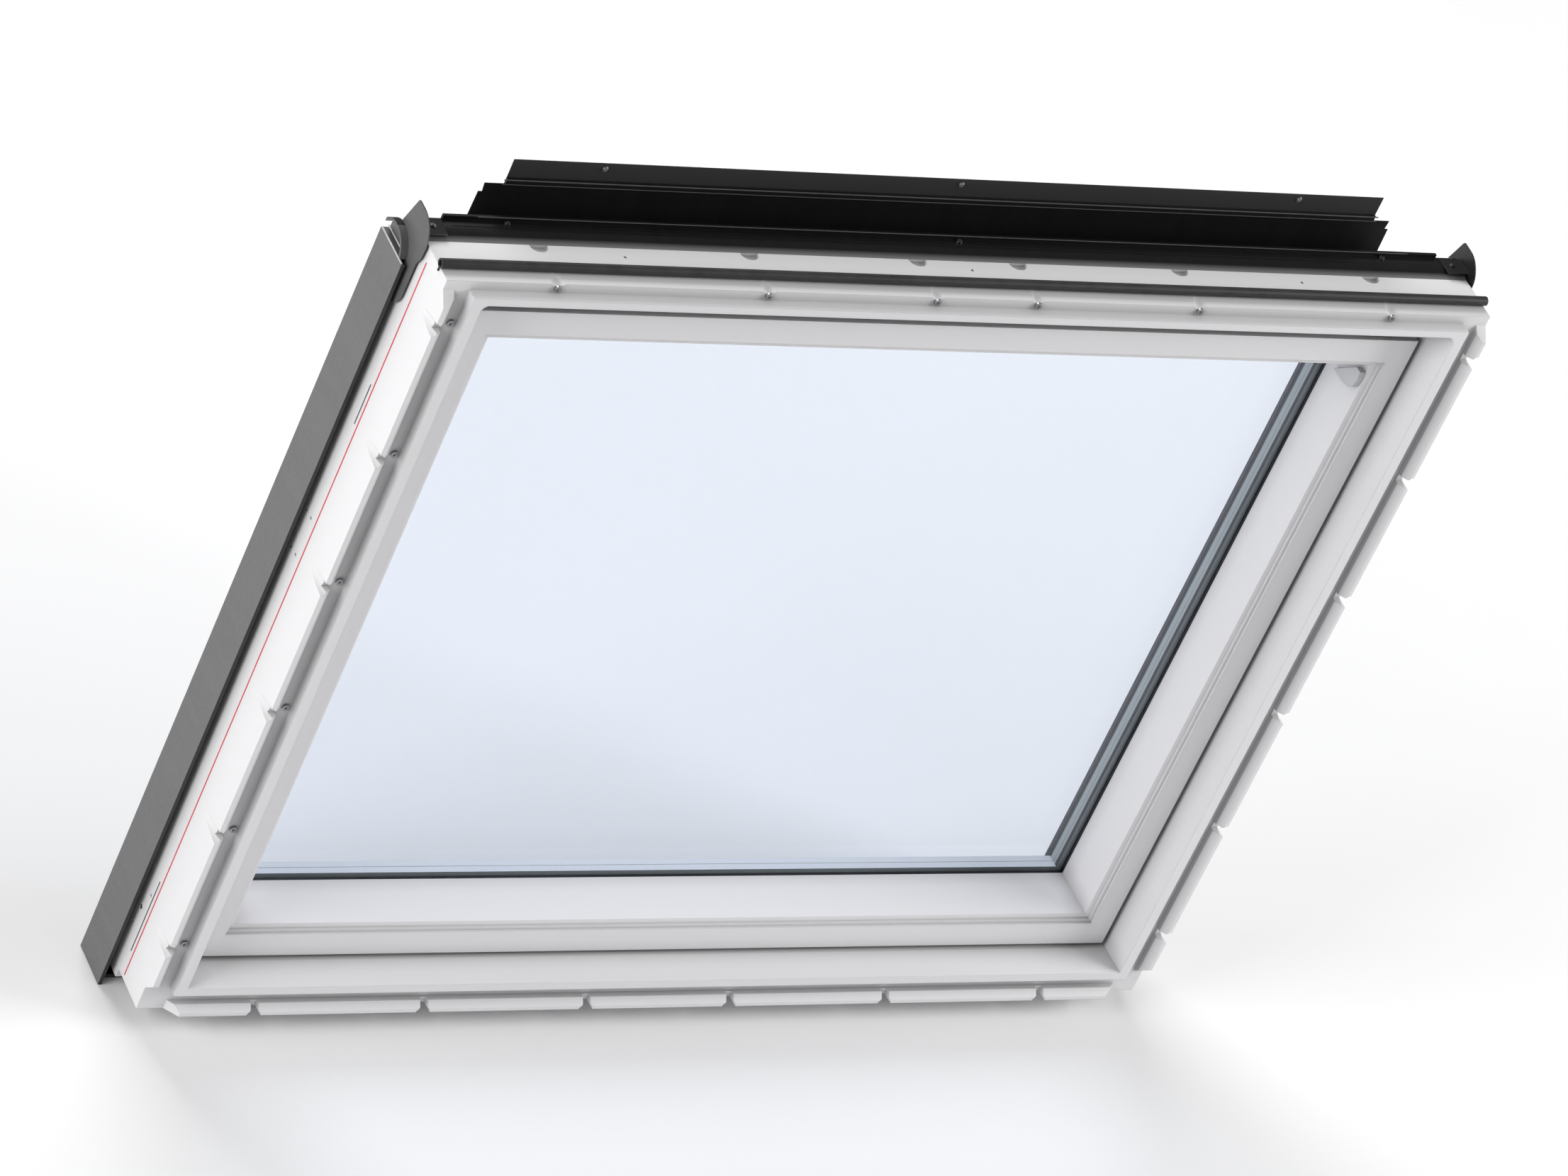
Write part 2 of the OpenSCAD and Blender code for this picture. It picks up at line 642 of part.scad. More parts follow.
module top_gutter() color(black) place() difference() {
    union() {
        // front edge rounded over on to the flat
        along_x(-half_w, half_w) difference() {
            translate([gutter_y, frame_h])
                square([gutter_d - gutter_hem_w + sheet_t, gutter_h]);
            difference() {
                translate([gutter_y - over, frame_h]) square([gutter_round + over, gutter_h + over]);
                translate([gutter_y + gutter_round, gutter_top - round_r]) circle(r = round_r, $fn = 96);
            }
            difference() {
                translate([gutter_y - over, frame_h - over])
                    square([gutter_round + 2 * over, gutter_h + over - sheet_t]);
                difference() {
                    translate([gutter_y - 2 * over, frame_h - over]) square([gutter_round + 2 * over, 2 * gutter_h]);
                    translate([gutter_y + gutter_round, gutter_top - round_r])
                        circle(r = round_r - sheet_t, $fn = 96);
                }
            }
            translate([gutter_y + gutter_round, frame_h - over])
                square([gutter_d, gutter_h + over - sheet_t]);
        }
        // hem along the back
        along_x(-half_w + hem_setback, half_w - hem_setback) difference() {
            translate([gutter_back - gutter_hem_w, frame_h])
                square([gutter_hem_w, gutter_h + gutter_hem_h]);
            translate([gutter_back - gutter_hem_w + sheet_t, frame_h - over])
                square([gutter_hem_w - 2 * sheet_t, gutter_h + gutter_hem_h + over - sheet_t]);
            translate([gutter_back - gutter_hem_w - over, frame_h - over])
                square([sheet_t + 2 * over, gutter_h + over - sheet_t]);
        }
    }
    for (row = gutter_screw_rows) translate([row * frame_w, gutter_screw_y, gutter_top])
        sheet_hole(2 * sheet_t);
    rivet_places() sheet_hole(2 * sheet_t + plate_t);
}

module gutter_screws() color(steel) place() for (row = gutter_screw_rows)
    translate([row * frame_w, gutter_screw_y, gutter_top])
        sheet_screw(gutter_h + sheet_screw_len - over);

// stands behind the gutter; a doubled fold runs below its upper flange
module head_flashing() color(black) place() difference() {
    low = half_w - flashing_in_low;
    step = frame_h + 13;
    high = half_w - flashing_in;
    union() {
        along_y(cover_y, sky_y) polygon([
            [-low, top_cover_z], [-low + 3, step], [-low + 7, step], [-low + 6, fold_low],
            [-high, fold_low], [-high, flashing_top], [high, flashing_top], [high, fold_low],
            [low - 6, fold_low], [low - 7, step], [low - 3, step], [low, top_cover_z]]);
        translate([-high, cover_y - flashing_fold_d, fold_low])
            cube([2 * high, flashing_fold_d + sheet_t / 2, fold_top - fold_low]);
    }
    flashing_screw_places() sheet_hole(2 * sheet_t);
}

module flashing_screw_places() for (row = flashing_screw_rows)
    translate([row * frame_w, cover_y, flashing_screw_z]) rotate([90, 0, 0]) children();

module flashing_rivets() color(steel) place() flashing_screw_places() rivet(2 * sheet_t);

/* end plates */

// sheet beside the gutter, its round collar and the foot riveted to the gutter
module end_plate() {
    edge = 26;                    // radius of the upper room-side corner
    low_r = 20;                   // radius of the lower room-side corner
    back = cover_y - 0.2;
    difference() {
        union() {
            along_x(-plate_out, -plate_x) polygon(concat(
                arc([84, frame_h - 3], edge, 90, 180, 12),
                [[59, frame_h - 15], [63.5, frame_h - 24], [64, frame_h - 52]],
                arc([84, frame_h - 61], low_r, 180, 270, 12),
                [[back, frame_h - 81], [back, frame_h - 48]],
                arc([94.8, frame_h + 20], 3, 20, 90, 6)));
            translate([-plate_out + plate_t / 2, gutter_y + gutter_h, gutter_top])
                cube([foot_w + plate_t / 2, 22, plate_t]);
        }
        rivet_places() sheet_hole(2 * plate_t);
    }
    intersection() {
        translate([-plate_out - collar_h, collar_y, collar_z]) rotate([0, 90, 0]) difference() {
            cylinder(r = collar_r, h = collar_h + plate_t / 2);
            translate([0, 0, -over]) cylinder(r = collar_r - collar_w, h = collar_h + over);
            translate([0, 0, collar_h]) cylinder(r = collar_r - collar_w, h = plate_t);
        }
        translate([-cover_x - over, 0, step_z + joint_gap])
            cube([cover_gap + 2 * over, back, collar_r]);
    }
}

module rivet_places() both_sides()
    translate([-half_w + foot_w / 2 - 1, gutter_y + 16, gutter_top + plate_t]) children();

module left_end_plate() color(black) place() end_plate();
module right_end_plate() color(black) place() mirror([1, 0, 0]) end_plate();

module end_plate_rivets() color(steel) place() rivet_places() rivet(plate_t + 1.5 * sheet_t);

/* head gasket */

module joint_gasket() color(black) place() along_x(-half_w - 1.6, half_w + 1.6) {
    translate([tube_y, frame_h + tube_d / 2]) difference() {
        circle(d = tube_d);
        circle(d = tube_bore);
    }
    translate([tube_y - fin_t / 2, frame_h - fin_h])
        square([fin_t, fin_h + (tube_d - tube_bore) / 2]);
}

/* blind bracket */

bracket_z = frame_h - 126;
bracket_y = bead_end_y + 1.5;

// a fin on the stile's inner wall, fitted to its slope
module blind_bracket() intersection() {
    along_x(-half_w + bead_2[0] - over, -half_w + rebate_in[0] + bracket_t) polygon([
        [bracket_y + bracket_d, bracket_z], [bracket_y + 9, bracket_z + bracket_h],
        [bracket_y + 1, bracket_z + bracket_h], [bracket_y, bracket_z + bracket_h - 9],
        [bracket_y + 2, bracket_z + 8], [bracket_y + 8, bracket_z + 3], [bracket_y + 17, bracket_z]]);
    taper(bead_2, bead_end_y, rebate_in, rebate_y);
}

module right_blind_bracket() color(white) place() mirror([1, 0, 0]) blind_bracket();

frame();
sash();
inner_pane();
outer_pane();
spacer_bar();
edge_sealant();
inner_glazing_gasket();
outer_glazing_gasket();
sash_gasket();
setting_blocks();
left_side_cover();
right_side_cover();
bottom_cover();
top_cover();
top_gutter();
head_flashing();
left_end_plate();
right_end_plate();
cover_clips();
clip_screws();
flashing_rivets();
gutter_screws();
end_plate_rivets();
left_frame_screws();
right_frame_screws();
head_frame_screws();
sash_screws();
right_blind_bracket();
joint_gasket();
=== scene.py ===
import math
import bpy
import bmesh
from mathutils import Matrix, Vector


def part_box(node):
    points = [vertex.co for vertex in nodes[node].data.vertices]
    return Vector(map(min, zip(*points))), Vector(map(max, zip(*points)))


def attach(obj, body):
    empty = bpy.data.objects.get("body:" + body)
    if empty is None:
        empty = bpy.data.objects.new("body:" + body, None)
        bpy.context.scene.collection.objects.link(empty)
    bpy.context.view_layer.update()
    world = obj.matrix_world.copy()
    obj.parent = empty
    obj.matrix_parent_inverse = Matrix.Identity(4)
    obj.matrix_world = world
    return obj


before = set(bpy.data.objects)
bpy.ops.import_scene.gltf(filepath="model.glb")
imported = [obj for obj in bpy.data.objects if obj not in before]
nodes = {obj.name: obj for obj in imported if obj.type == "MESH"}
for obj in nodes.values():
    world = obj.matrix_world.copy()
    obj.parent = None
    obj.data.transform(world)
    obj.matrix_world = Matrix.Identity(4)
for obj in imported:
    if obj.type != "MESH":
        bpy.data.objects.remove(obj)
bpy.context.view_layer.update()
print("element loaded, pieces:", len(nodes))

# places that finishes and added pieces are worked out from, in metres
frameLow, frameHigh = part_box("frame")
spacerLow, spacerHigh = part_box("spacer_bar")
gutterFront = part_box("top_gutter")[0][1]
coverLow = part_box("left_side_cover")[0]
roomY = frameLow[1]
jambX = frameHigh[0]
headZ = frameHigh[2]
baseZ = 0.026                        # the frame's lower face above the covers' lowest edge
sides = (("left", -1), ("right", 1))


def fromRoom(depth):
    # a depth in metres behind the room face, as a Y in the scene
    return roomY + depth


def spotsOf(node):
    piece = nodes[node]
    return [piece.matrix_world @ v.co for v in piece.data.vertices]


def newFinish(name):
    finish = bpy.data.materials.new(name)
    finish.use_nodes = True
    tree = finish.node_tree
    tree.nodes.clear()
    out = tree.nodes.new("ShaderNodeOutputMaterial")
    return finish, tree, out


def link(tree, a, b):
    tree.links.new(a, b)


def objectCoords(tree, scale=(1, 1, 1)):
    coords = tree.nodes.new("ShaderNodeTexCoord")
    mapping = tree.nodes.new("ShaderNodeMapping")
    mapping.inputs["Scale"].default_value = scale
    link(tree, coords.outputs["Object"], mapping.inputs["Vector"])
    return mapping.outputs["Vector"]


def noiseField(tree, vector, size, detail=3.0):
    noise = tree.nodes.new("ShaderNodeTexNoise")
    noise.inputs["Scale"].default_value = size
    noise.inputs["Detail"].default_value = detail
    link(tree, vector, noise.inputs["Vector"])
    return noise.outputs["Fac"]


def remap(tree, value, low, high, fromLow=0.3, fromHigh=0.7):
    node = tree.nodes.new("ShaderNodeMapRange")
    node.inputs["From Min"].default_value = fromLow
    node.inputs["From Max"].default_value = fromHigh
    node.inputs["To Min"].default_value = low
    node.inputs["To Max"].default_value = high
    link(tree, value, node.inputs["Value"])
    return node.outputs["Result"]


def mixTones(tree, factor, first, second):
    # each tone is a colour or the output of another node
    mix = tree.nodes.new("ShaderNodeMix")
    mix.data_type = "RGBA"
    for socket, tone in (("A", first), ("B", second)):
        if isinstance(tone, tuple):
            mix.inputs[socket].default_value = (*tone, 1)
        else:
            link(tree, tone, mix.inputs[socket])
    link(tree, factor, mix.inputs["Factor"])
    return mix.outputs["Result"]


def mottled(tree, field, look):
    return mixTones(tree, remap(tree, field, 0, 1), look["color"], look["shade"])


def roundedNormal(tree, radius, samples=4):
    rounded = tree.nodes.new("ShaderNodeBevel")
    rounded.samples = samples
    rounded.inputs["Radius"].default_value = radius
    return rounded.outputs["Normal"]


def bumped(tree, height, strength, distance, normal=None):
    bump = tree.nodes.new("ShaderNodeBump")
    bump.inputs["Strength"].default_value = strength
    bump.inputs["Distance"].default_value = distance
    link(tree, height, bump.inputs["Height"])
    if normal:
        link(tree, normal, bump.inputs["Normal"])
    return bump.outputs["Normal"]


# moulded polyurethane: even white skin, faint flow marks, soft arrises, a very fine grain and painted shade in
# corners and pockets
mouldedSkin = {
    "color": (0.80, 0.79, 0.80),
    "shade": (0.793, 0.783, 0.794),
    "roughLow": 0.30,
    "roughHigh": 0.36,
    "specular": 0.45,
    "flowSize": 5.0,
    "edgeRound": 0.0012,
    "edgeSamples": 6,
    "grain": 0.03,
    "grainSize": 900.0,
    "grainDepth": 0.0002,
    # nookReach to nookSamples: painted shade that greys the colour in corners and pockets
    "nookReach": 0.028,
    "nookShadeTone": 0.56,
    "nookRange": (0.2, 0.95),
    "nookSamples": 16,
}


def paintedNookShade(tree, skin, look):
    # painted shade: corners and pockets come out a little greyer, the colour scaled down by ambient occlusion
    nook = tree.nodes.new("ShaderNodeAmbientOcclusion")
    nook.samples = look["nookSamples"]
    nook.inputs["Distance"].default_value = look["nookReach"]
    openness = remap(tree, nook.outputs["AO"], look["nookShadeTone"], 1.0, *look["nookRange"])
    greyed = tree.nodes.new("ShaderNodeVectorMath")
    greyed.operation = "SCALE"
    link(tree, skin, greyed.inputs["Vector"])
    link(tree, openness, greyed.inputs["Scale"])
    return greyed.outputs["Vector"]


def makeMoulding(name, look):
    finish, tree, out = newFinish(name)
    shader = tree.nodes.new("ShaderNodeBsdfPrincipled")
    flow = noiseField(tree, objectCoords(tree), look["flowSize"], detail=4.0)
    link(tree, paintedNookShade(tree, mottled(tree, flow, look), look), shader.inputs["Base Color"])
    link(tree, remap(tree, flow, look["roughLow"], look["roughHigh"]), shader.inputs["Roughness"])
    shader.inputs["Specular IOR Level"].default_value = look["specular"]
    grain = noiseField(tree, objectCoords(tree), look["grainSize"], detail=2.0)
    arris = roundedNormal(tree, look["edgeRound"], look["edgeSamples"])
    normal = bumped(tree, grain, look["grain"], look["grainDepth"], arris)
    link(tree, normal, shader.inputs["Normal"])
    link(tree, shader.outputs["BSDF"], out.inputs["Surface"])
    return finish


# coil-coated sheet: fine orange peel, slightly streaked along the roll
sheetSkin = {"streak": (1, 1, 1), "streakSize": 6.0, "peel": 0.03, "peelSize": 260.0, "peelDepth": 0.0001,
             "edgeRound": 0.0004, "gloss": 0.5, "edge": -0.2}


def paintedFacingTone(tree, tone, look):
    # painted light: another tone on the faces that look away from a set direction; painted shade on the grey sheets
    # and a painted reflection on the spacer bar's upward faces
    geometry = tree.nodes.new("ShaderNodeNewGeometry")
    dot = tree.nodes.new("ShaderNodeVectorMath")
    dot.operation = "DOT_PRODUCT"
    dot.inputs[1].default_value = look["outward"]
    link(tree, geometry.outputs["True Normal"], dot.inputs[0])
    side = tree.nodes.new("ShaderNodeMath")
    side.operation = "GREATER_THAN"
    side.inputs[1].default_value = look["edge"]
    link(tree, dot.outputs["Value"], side.inputs[0])
    return mixTones(tree, side.outputs["Value"], look["inside"], tone)


def paintedEdgeLight(tree, tone, look):
    # painted light: another tone along one edge of the sheet, sharp or fading; a painted reflection on the gutter's
    # front and a lighter tone above the flashing's fold
    coords = tree.nodes.new("ShaderNodeTexCoord")
    split = tree.nodes.new("ShaderNodeSeparateXYZ")
    link(tree, coords.outputs["Object"], split.inputs["Vector"])
    band = remap(tree, split.outputs[look["stripAxis"]], 0, 1, look["stripFrom"], look["stripTo"])
    return mixTones(tree, band, tone, look["paintedStripTone"])


def makeSheet(name, look):
    look = {**sheetSkin, **look}
    finish, tree, out = newFinish(name)
    shader = tree.nodes.new("ShaderNodeBsdfPrincipled")
    tone = mottled(tree, noiseField(tree, objectCoords(tree, look["streak"]), look["streakSize"]), look)
    if "inside" in look:
        tone = paintedFacingTone(tree, tone, look)
    if "paintedStripTone" in look:
        tone = paintedEdgeLight(tree, tone, look)
    link(tree, tone, shader.inputs["Base Color"])
    peel = noiseField(tree, objectCoords(tree), look["peelSize"], detail=2.0)
    link(tree, remap(tree, peel, look["roughLow"], look["roughHigh"]), shader.inputs["Roughness"])
    shader.inputs["Specular IOR Level"].default_value = look["gloss"]
    normal = bumped(tree, peel, look["peel"], look["peelDepth"], roundedNormal(tree, look["edgeRound"]))
    link(tree, normal, shader.inputs["Normal"])
    link(tree, shader.outputs["BSDF"], out.inputs["Surface"])
    return finish


# rubber, ink and small plastic parts: a dusty tone over a fine grain
softSkin = {"dustSize": 60.0, "grain": 0.1, "grainSize": 1200.0, "grainDepth": 0.0002, "specular": 0.4}


def makeSoft(name, look):
    look = {**softSkin, **look}
    finish, tree, out = newFinish(name)
    shader = tree.nodes.new("ShaderNodeBsdfPrincipled")
    dust = noiseField(tree, objectCoords(tree), look["dustSize"], detail=4.0)
    link(tree, mottled(tree, dust, look), shader.inputs["Base Color"])
    link(tree, remap(tree, dust, look["roughLow"], look["roughHigh"]), shader.inputs["Roughness"])
    shader.inputs["Specular IOR Level"].default_value = look["specular"]
    grain = noiseField(tree, objectCoords(tree), look["grainSize"])
    link(tree, bumped(tree, grain, look["grain"], look["grainDepth"]), shader.inputs["Normal"])
    link(tree, shader.outputs["BSDF"], out.inputs["Surface"])
    return finish


# zinc-plated screws and rivets with light turning marks
zincSkin = {"wearSize": 450.0, "edgeRound": 0.0005, "roughLow": 0.25, "roughHigh": 0.4}


def makeZinc(name, look):
    look = {**zincSkin, **look}
    finish, tree, out = newFinish(name)
    shader = tree.nodes.new("ShaderNodeBsdfPrincipled")
    wear = noiseField(tree, objectCoords(tree), look["wearSize"], detail=4.0)
    link(tree, mottled(tree, wear, look), shader.inputs["Base Color"])
    link(tree, remap(tree, wear, look["roughLow"], look["roughHigh"]), shader.inputs["Roughness"])
    shader.inputs["Metallic"].default_value = 1.0
    link(tree, roundedNormal(tree, look["edgeRound"]), shader.inputs["Normal"])
    link(tree, shader.outputs["BSDF"], out.inputs["Surface"])
    return finish


# pane: sees through, with a pale blue body and a sheen that grows at a shallow angle
paneLook = {"clear": (0.968, 0.980, 1.0), "color": (0.80, 0.86, 0.97), "shade": (0.77, 0.84, 0.96), "haze": 0.04,
            "hazeSize": 1.2, "glow": 0.5, "sheen": 0.02, "steepSheen": 0.8, "steepness": 4.0, "blend": 0.5,
            "roughness": 0.02}


def mixShaders(tree, share, first, second):
    mix = tree.nodes.new("ShaderNodeMixShader")
    if isinstance(share, float):
        mix.inputs["Fac"].default_value = share
    else:
        link(tree, share, mix.inputs["Fac"])
    link(tree, first, mix.inputs[1])
    link(tree, second, mix.inputs[2])
    return mix.outputs["Shader"]


def makePane(name, look):
    finish, tree, out = newFinish(name)
    clear = tree.nodes.new("ShaderNodeBsdfTransparent")
    clear.inputs["Color"].default_value = (*look["clear"], 1)
    body = tree.nodes.new("ShaderNodeBsdfDiffuse")
    haze = noiseField(tree, objectCoords(tree), look["hazeSize"], detail=2.0)
    link(tree, mottled(tree, haze, look), body.inputs["Color"])
    glow = tree.nodes.new("ShaderNodeBsdfTranslucent")
    glow.inputs["Color"].default_value = (*look["color"], 1)
    soft = mixShaders(tree, look["glow"], body.outputs["BSDF"], glow.outputs["BSDF"])
    tinted = mixShaders(tree, look["haze"], clear.outputs["BSDF"], soft)
    gloss = tree.nodes.new("ShaderNodeBsdfGlossy")
    gloss.inputs["Roughness"].default_value = look["roughness"]
    facing = tree.nodes.new("ShaderNodeLayerWeight")
    facing.inputs["Blend"].default_value = look["blend"]
    steep = tree.nodes.new("ShaderNodeMath")
    steep.operation = "POWER"
    steep.inputs[1].default_value = look["steepness"]
    link(tree, facing.outputs["Facing"], steep.inputs[0])
    share = remap(tree, steep.outputs["Value"], look["sheen"], look["steepSheen"], 0.0, 1.0)
    link(tree, mixShaders(tree, share, tinted, gloss.outputs["BSDF"]), out.inputs["Surface"])
    return finish


# grey coat and the plate coats: painted shade, near black on the faces turned away from their set direction
greyCoat = {"color": (0.126, 0.126, 0.128), "shade": (0.116, 0.116, 0.118), "roughLow": 0.34, "roughHigh": 0.46,
            "streak": (1, 1, 12), "inside": (0.012, 0.012, 0.013), "outward": (-1, 0.3, 0)}
leftPlateCoat = dict(greyCoat, outward=(-1, -0.6, -0.55), edge=-0.5, gloss=0.15)
rightPlateCoat = dict(greyCoat, outward=(1, 0, 0), edge=0.0)
# painted highlight: light grey for the bright arrises at the left cover's head
arrisHighlightCoat = {"color": (0.62, 0.62, 0.625), "shade": (0.54, 0.54, 0.545), "roughLow": 0.22, "roughHigh": 0.3,
            "streak": (1, 12, 1)}
blackCoat = {"color": (0.008, 0.008, 0.009), "shade": (0.006, 0.006, 0.007), "roughLow": 0.24, "roughHigh": 0.27,
             "streak": (14, 1, 1), "gloss": 0.45, "peel": 0.008}
# gutter coat: painted reflection, a lighter band fading in along the gutter's front edge
gutterCoat = dict(blackCoat, paintedStripTone=(0.24, 0.235, 0.24), stripAxis="Y", stripFrom=gutterFront + 0.0070,
                  stripTo=gutterFront - 0.001)
# flashing coat: painted light, the sheet lighter above its fold
flashingCoat = dict(blackCoat, color=(0.007, 0.007, 0.008), shade=(0.005, 0.005, 0.006), paintedStripTone=(0.034, 0.034, 0.035),
                    stripAxis="Z", stripFrom=headZ + 0.030, stripTo=headZ + 0.032,
                    roughLow=0.40, roughHigh=0.48, gloss=0.25)
# painted highlight: a grey lighter than the black sheet, for the folds on the front faces
foldHighlightCoat = dict(blackCoat, color=(0.11, 0.11, 0.112), shade=(0.09, 0.09, 0.092), roughLow=0.3, roughHigh=0.4)
# spacer coat: painted reflection, pale blue on the spacer bar's upward faces
spacerCoat = {"color": (0.42, 0.46, 0.46), "shade": (0.37, 0.41, 0.41), "roughLow": 0.3, "roughHigh": 0.4,
              "inside": (0.80, 0.84, 0.90), "outward": (0, 0, -1), "edge": -0.5}

white = makeMoulding("mouldedWhite", mouldedSkin)
bracketGrey = makeMoulding("bracketGrey", dict(mouldedSkin, color=(0.6, 0.6, 0.6), shade=(0.56, 0.56, 0.565)))
# grey sheets, each with painted shade on the faces turned away from its own set direction
greyLeft = makeSheet("greyCoatLeft", greyCoat)
greyRight = makeSheet("greyCoatRight", dict(greyCoat, outward=(1, 0.3, 0)))
greySky = makeSheet("greyCoatSky", dict(greyCoat, outward=(0, 1, -0.3), streak=(12, 1, 1)))
blackSheet = makeSheet("blackCoat", blackCoat)
foldHighlightSheet = makeSheet("foldHighlightCoat", foldHighlightCoat)
arrisHighlightSheet = makeSheet("arrisHighlightCoat", arrisHighlightCoat)
sealRubber = makeSoft("sealRubber", {"color": (0.004, 0.005, 0.008), "shade": (0.007, 0.008, 0.011),
                                     "roughLow": 0.35, "roughHigh": 0.5})
tubeRubber = makeSoft("tubeRubber", {"color": (0.028, 0.027, 0.027), "shade": (0.036, 0.035, 0.034),
                                     "roughLow": 0.4, "roughHigh": 0.55})
sealantGrey = makeSoft("sealantGrey", {"color": (0.02, 0.021, 0.023), "shade": (0.03, 0.03, 0.032),
                                       "roughLow": 0.55, "roughHigh": 0.7})
clipBlack = makeSoft("clipBlack", {"color": (0.03, 0.03, 0.03), "shade": (0.04, 0.04, 0.04),
                                   "roughLow": 0.4, "roughHigh": 0.5})
# painted shadow: near black for the slit, the slots and the recesses
paintedGapShadow = makeSoft("paintedGapShadow", {"color": (0.035, 0.034, 0.034), "shade": (0.05, 0.048, 0.048),
                                   "roughLow": 0.8, "roughHigh": 0.95, "specular": 0.1})
redInk = makeSoft("redInk", {"color": (0.58, 0.06, 0.07), "shade": (0.64, 0.09, 0.10),
                             "roughLow": 0.45, "roughHigh": 0.6})
blueInk = makeSoft("blueInk", {"color": (0.02, 0.025, 0.12), "shade": (0.03, 0.035, 0.15),
                               "roughLow": 0.45, "roughHigh": 0.6})
zinc = makeZinc("zincPlate", {"color": (0.45, 0.45, 0.46), "shade": (0.3, 0.3, 0.31)})
darkZinc = makeZinc("darkZinc", {"color": (0.2, 0.2, 0.21), "shade": (0.12, 0.12, 0.125)})
paneGlass = makePane("paneGlass", paneLook)

finishOf = {
    "frame": white, "sash": white,
    "inner_pane": paneGlass, "outer_pane": paneGlass,
    "spacer_bar": makeSheet("spacerSilver", spacerCoat), "edge_sealant": sealantGrey,
    "inner_glazing_gasket": sealRubber, "outer_glazing_gasket": sealRubber,
    "sash_gasket": sealRubber, "setting_blocks": clipBlack,
    "left_side_cover": greyLeft, "right_side_cover": greyRight,
    "bottom_cover": greySky, "top_cover": greySky,
    "top_gutter": makeSheet("gutterCoat", gutterCoat), "head_flashing": makeSheet("flashingCoat", flashingCoat),
    "left_end_plate": makeSheet("leftPlateCoat", leftPlateCoat),
    "right_end_plate": makeSheet("rightPlateCoat", rightPlateCoat),
    "cover_clips": clipBlack, "clip_screws": zinc,
    "flashing_rivets": zinc, "gutter_screws": darkZinc, "end_plate_rivets": darkZinc,
    "left_frame_screws": zinc, "right_frame_screws": zinc, "head_frame_screws": zinc, "sash_screws": zinc,
    "right_blind_bracket": bracketGrey, "joint_gasket": tubeRubber,
}
for name, piece in nodes.items():
    piece.data.materials.clear()
    piece.data.materials.append(finishOf[name])
print("finishes on the pieces:", len(finishOf))

weldReach = 1e-7                     # corners nearer than this become one


def addPiece(name, verts, faces, finish, slotName, smooth=False):
    mesh = bpy.data.meshes.new(name)
    mesh.from_pydata([tuple(v) for v in verts], [], faces)
    mesh.materials.append(finish)
    shape = bmesh.new()
    shape.from_mesh(mesh)
    bmesh.ops.remove_doubles(shape, verts=shape.verts, dist=weldReach)
    bmesh.ops.recalc_face_normals(shape, faces=shape.faces)
    shape.to_mesh(mesh)
    shape.free()
    for face in mesh.polygons:
        face.use_smooth = smooth
    piece = bpy.data.objects.new(name, mesh)
    bpy.context.scene.collection.objects.link(piece)
    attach(piece, "root")
    return piece


def sweep(outline, points, sideways, upward):
    # a closed outline of (sideways, upward) offsets carried along points, with both ends shut
    verts = [Vector(point) + Vector(sideways) * a + Vector(upward) * b for point in points for a, b in outline]
    count = len(outline)
    faces = []
    for i in range(len(points) - 1):
        for j in range(count):
            k = (j + 1) % count
            faces.append((i * count + j, i * count + k, (i + 1) * count + k, (i + 1) * count + j))
    faces.append(tuple(reversed(range(count))))
    faces.append(tuple((len(points) - 1) * count + j for j in range(count)))
    return verts, faces


def ridgeOutline(width, rise, topShare):
    half = width / 2
    return [(-half, 0), (half, 0), (half * topShare, rise), (-half * topShare, rise)]


def ringOutline(radius, steps):
    return [(radius * math.cos(2 * math.pi * i / steps), radius * math.sin(2 * math.pi * i / steps))
            for i in range(steps)]


# marking lines printed along the jambs, a red one and a dark blue one
markLines = {
    "RedLine": {"depth": 0.053, "width": 0.0021, "fromFoot": 0.005, "fromHead": 0.014, "ink": redInk},
    "BlueLine": {"depth": 0.084, "width": 0.0016, "fromFoot": 0.005, "fromHead": 0.090, "ink": blueInk},
}
inkStand = 0.00015
for sideName, side in sides:
    for lineName, line in markLines.items():
        low, high = baseZ + line["fromFoot"], headZ - line["fromHead"]
        points = [(side * jambX, fromRoom(line["depth"]), z) for z in (low, (low + high) / 2, high)]
        addPiece(sideName + lineName,
                 *sweep(ridgeOutline(line["width"], inkStand, 0.8), points, (0, 1, 0), (side, 0, 0)),
                 line["ink"], "white_moulding")
print("marking lines drawn")


# rolled bead along the room-side edge of each side cover
coverBead = {"radius": 0.0013, "steps": 14, "rings": (0.0003, 0.3, 0.6, 0.9118)}
for sideName, side in sides:
    edgeX = side * (-coverLow[0] - coverBead["radius"])
    edgeY = coverLow[1] + coverBead["radius"]
    points = [(edgeX, edgeY, z) for z in coverBead["rings"]]
    addPiece(sideName + "CoverBead",
             *sweep(ringOutline(coverBead["radius"], coverBead["steps"]), points, (1, 0, 0), (0, 1, 0)),
             greyLeft if side < 0 else greyRight, "grey_sheet", smooth=True)
print("cover beads rolled")


# folds pressed along the gutter and the upright flashing, those on the front faces coloured lighter as a painted
# highlight; heights are above the frame's head
gutterCrease = {"depth": 0.085, "height": 0.004, "width": 0.0016, "rise": 0.00045, "inset": 0.032}
frontFolds = {
    "gutterHemFold": {"sheet": "top_gutter", "seen": (0.0072, 0.0090),
                      "height": 0.0078, "width": 0.0012, "rise": 0.0004, "inset": 0.060},
    "flashingFold": {"sheet": "head_flashing", "seen": (0.020, 0.055),
                     "height": 0.0290, "width": 0.0015, "rise": 0.0005, "inset": 0.090},
    "flashingFoldLow": {"sheet": "head_flashing", "seen": (0.020, 0.055),
                        "height": 0.0238, "width": 0.0009, "rise": 0.0003, "inset": 0.090},
}
foldTop = 0.6                        # share of a fold's width that is left at its top


